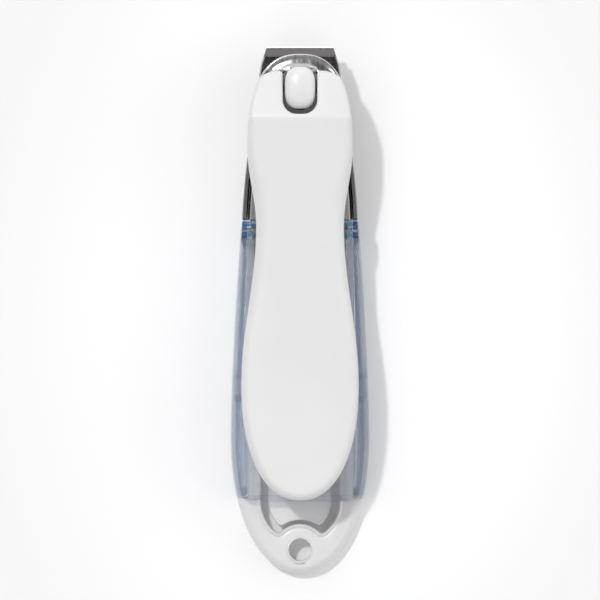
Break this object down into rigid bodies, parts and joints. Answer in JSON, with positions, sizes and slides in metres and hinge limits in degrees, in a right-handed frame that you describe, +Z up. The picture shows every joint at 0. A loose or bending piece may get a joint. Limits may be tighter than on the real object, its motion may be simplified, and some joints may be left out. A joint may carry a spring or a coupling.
{
  "type": "nail clipper",
  "caption": "Lever nail clipper with sprung steel jaws, a flip-over white lever on a turning post, a clear catcher hood and a white drawer tray with lanyard hole.",
  "frame": {"origin": "on the table plane, under the centre of the clipper's length and width", "axes": "+Y along the length towards the blades, +Z up from the flat underside, +X across, the clipper being symmetric about X = 0"},
  "size_m": [0.0232, 0.088, 0.0175],
  "materials": {
    "jaw_steel": "ground and polished stainless spring steel",
    "bright_steel": "bright plated steel",
    "white_plastic": "moulded, satin gloss",
    "gloss_white": "moulded, high gloss",
    "pearl_white": "fine satin with a faint pearl",
    "clear_plastic": "clear, faintly blue polystyrene"
  },
  "bodies": {
    "housing": {"clear_hood": "clear_plastic", "jaw_carrier": "white_plastic", "lower_jaw": "jaw_steel", "jaw_rivet": "bright_steel", "rivet_washer": "bright_steel"},
    "upper_jaw": {"upper_jaw": "jaw_steel"},
    "post": {"pivot_post": "bright_steel", "post_cap": "gloss_white"},
    "lever": {"lever_plate": "bright_steel", "lever_cover": "pearl_white"},
    "tray": {"base_tray": "white_plastic"},
    "tongue": {"release_tongue": "white_plastic"}
  },
  "joints": [
    {"name": "jaw_close", "type": "hinge", "parent": "housing", "child": "upper_jaw", "pos_m": [0, -0.007, 0.0063], "axis": [-1, 0, 0], "range_deg": [0, 2.05], "stiffness_Nm_per_rad": 0.8},
    {"name": "post_spin", "type": "hinge", "parent": "housing", "child": "post", "pos_m": [0, 0.0356, 0.009], "axis": [0, 0, 1], "range_deg": [-180, 180]},
    {"name": "lever_flip", "type": "hinge", "parent": "post", "child": "lever", "pos_m": [0, 0.0401, 0.01295], "axis": [-1, 0, 0], "range_deg": [0, 167]},
    {"name": "tray_slide", "type": "slide", "parent": "housing", "child": "tray", "axis": [0, -1, 0], "range_m": [0, 0.032]},
    {"name": "tongue_press", "type": "hinge", "parent": "tray", "child": "tongue", "pos_m": [0, -0.0249, 0.00215], "axis": [1, 0, 0], "range_deg": [0, 5], "stiffness_Nm_per_rad": 0.004}
  ]
}
